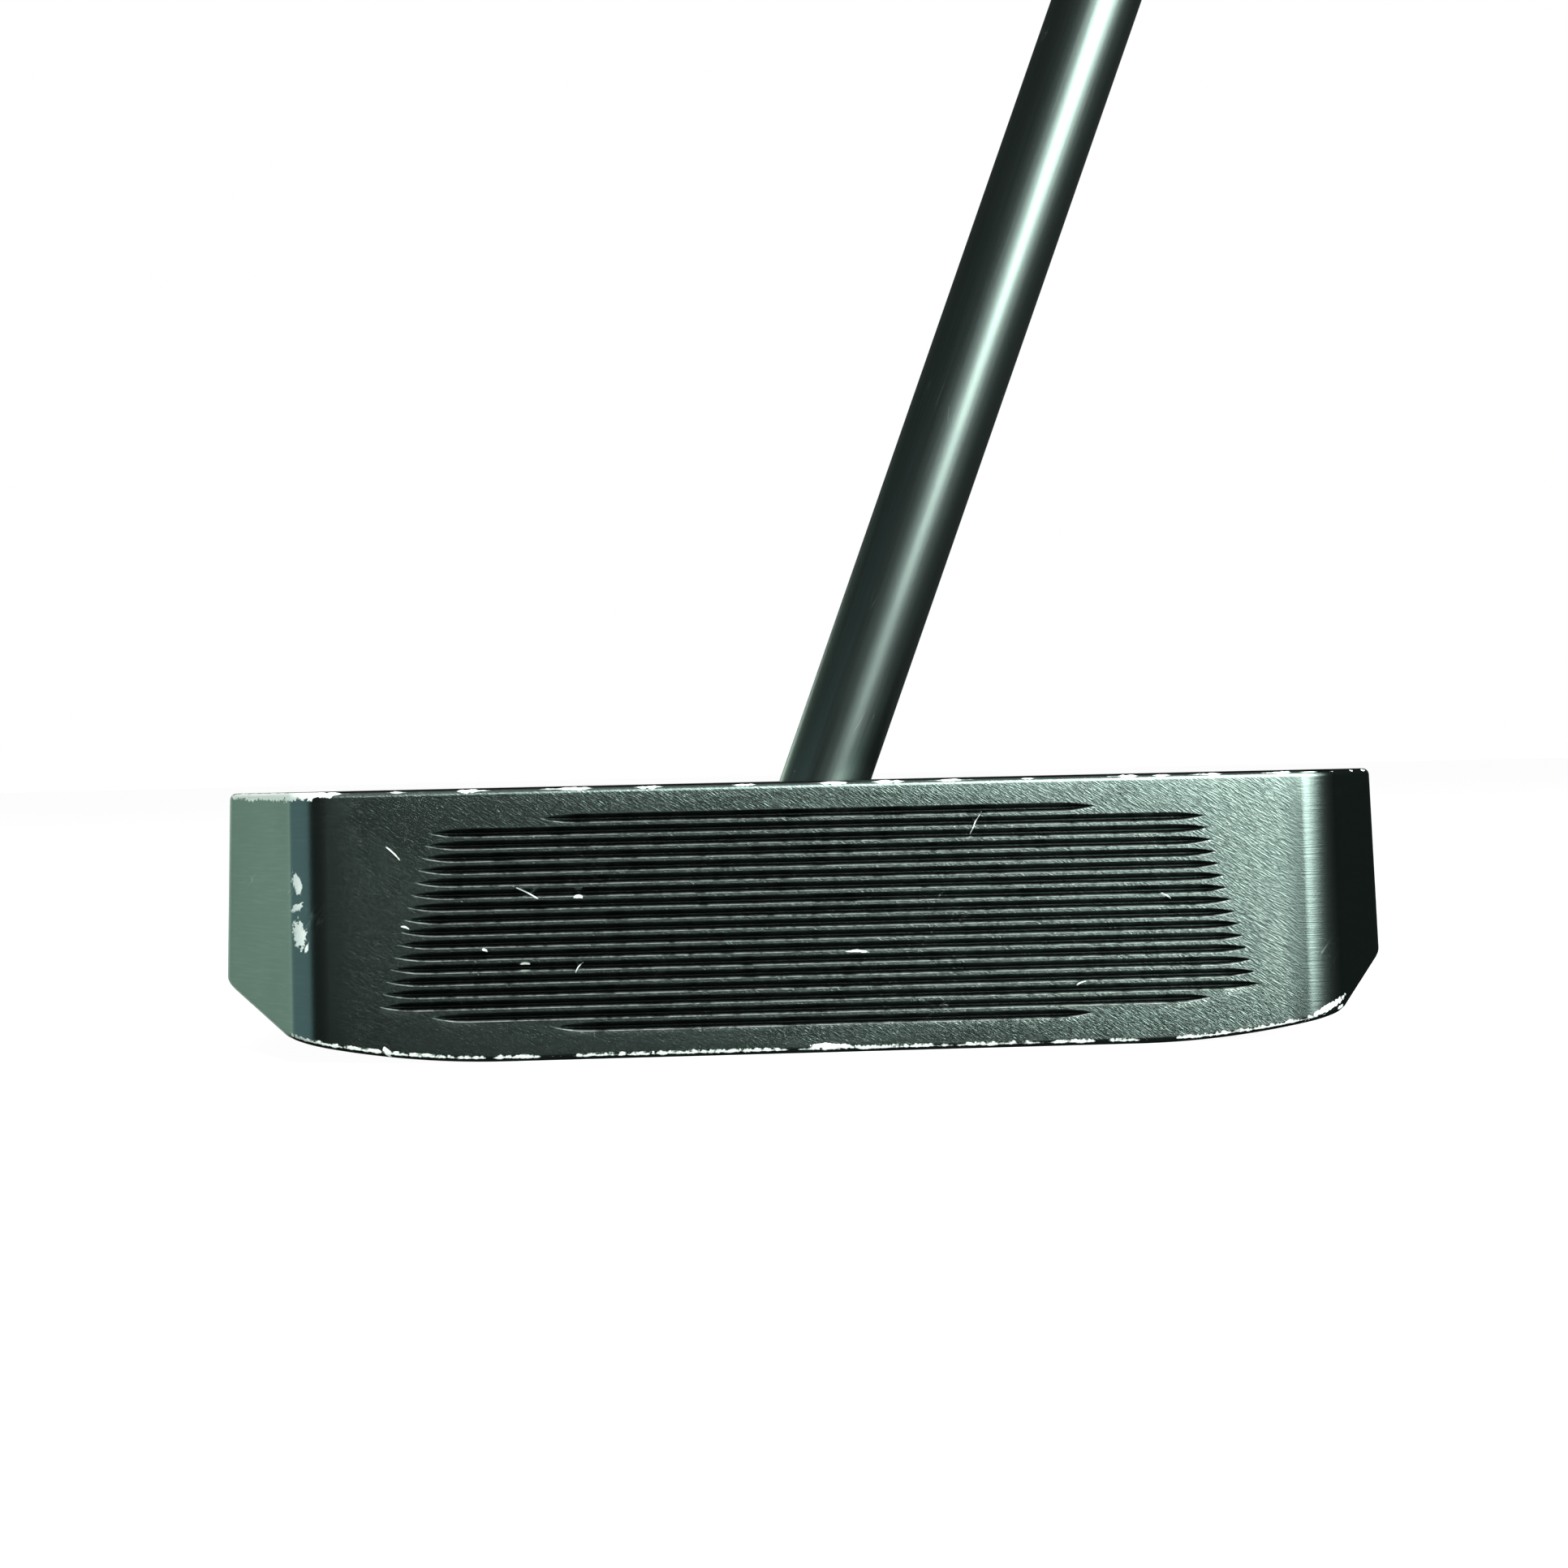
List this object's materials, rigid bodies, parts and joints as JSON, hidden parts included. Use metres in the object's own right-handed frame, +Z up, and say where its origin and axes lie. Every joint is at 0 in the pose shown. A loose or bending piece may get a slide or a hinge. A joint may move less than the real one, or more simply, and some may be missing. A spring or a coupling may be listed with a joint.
{
  "type": "mallet putter",
  "caption": "Centre-shafted mallet putter: wide black aluminium head with a milled grooved face, open rear frame, straight black steel shaft and padded grip.",
  "frame": {"origin": "centre of the flat of the sole, on the sole plane, midway heel to toe and midway face to tail", "axes": "+Z up with the sole flat on the ground, the face looks along -Y, the shaft leans towards the heel along +X"},
  "size_m": [0.374, 0.088, 0.8131],
  "materials": {
    "anodised_head": "black anodised, fine-milled satin",
    "black_steel": "black oxide satin",
    "bare_steel": "machined",
    "weight_steel": "turned, satin",
    "white_paint": "enamel paint fill",
    "shaft_finish": "black satin plated",
    "cork": "raw cork",
    "epoxy": "cured epoxy",
    "tape": "paper tape",
    "foam": "closed-cell foam",
    "grip_skin": "embossed synthetic leather",
    "thread": "waxed thread",
    "cap_rubber": "moulded rubber",
    "plug_plastic": "moulded",
    "collar_rubber": "moulded rubber"
  },
  "bodies": {
    "root": {"head_body": "anodised_head", "shaft_block": "black_steel", "block_screws": "bare_steel", "toe_front_weight": "weight_steel", "toe_inner_weight": "weight_steel", "toe_rear_weight": "weight_steel", "toe_tail_weight": "weight_steel", "heel_front_weight": "weight_steel", "heel_inner_weight": "weight_steel", "heel_rear_weight": "weight_steel", "heel_tail_weight": "weight_steel", "sight_line": "white_paint", "shaft": "shaft_finish", "tip_cork": "cork", "shaft_bond": "epoxy", "grip_tape": "tape", "grip_core": "foam", "grip_skin": "grip_skin", "seam_stitching": "thread", "grip_cap": "cap_rubber", "cap_plug": "plug_plastic", "grip_collar": "collar_rubber"}
  },
  "joints": []
}
